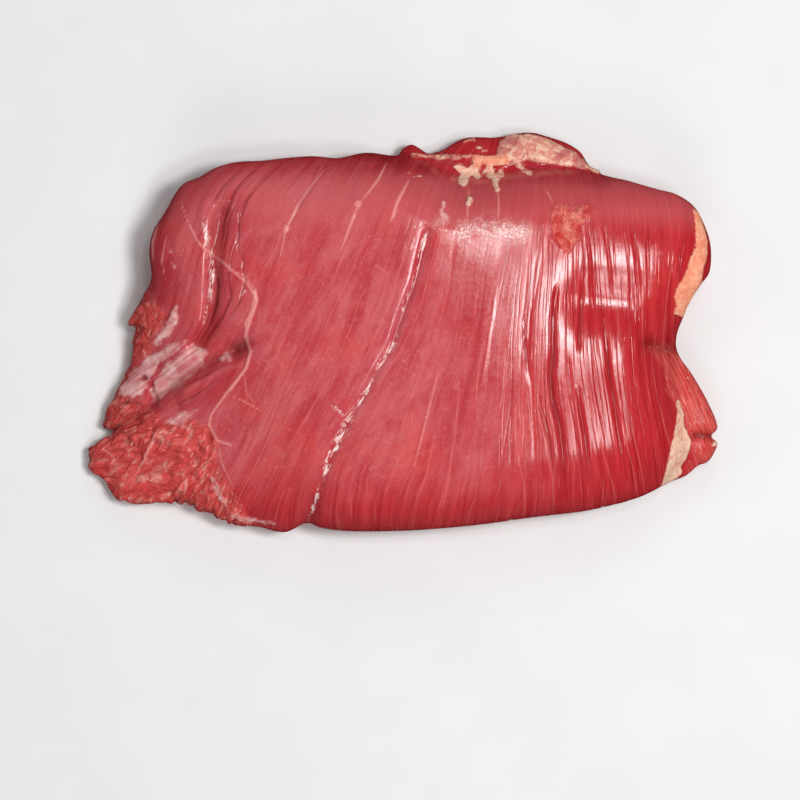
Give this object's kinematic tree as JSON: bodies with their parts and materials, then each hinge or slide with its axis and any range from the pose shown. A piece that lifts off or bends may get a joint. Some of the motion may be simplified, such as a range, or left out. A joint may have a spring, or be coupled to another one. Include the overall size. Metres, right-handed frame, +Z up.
{
  "type": "raw beef flank steak",
  "caption": "Raw beef flank steak folded in two, domed and ribbed along the grain, with a torn left end and a fat-covered flap, lying flat.",
  "frame": {"origin": "centre of the flat underside's bounding box, on the surface the steak lies on", "axes": "+X along the longest side, towards the end with the notch and fat strip, +Y along the grain towards the fat-covered flap, +Z up"},
  "size_m": [0.2092, 0.1328, 0.038],
  "materials": {
    "raw_beef": "wet raw beef, deep red muscle with a pale pink membrane and cream fat"
  },
  "bodies": {
    "root": {"flank_steak": "raw_beef"}
  },
  "joints": []
}
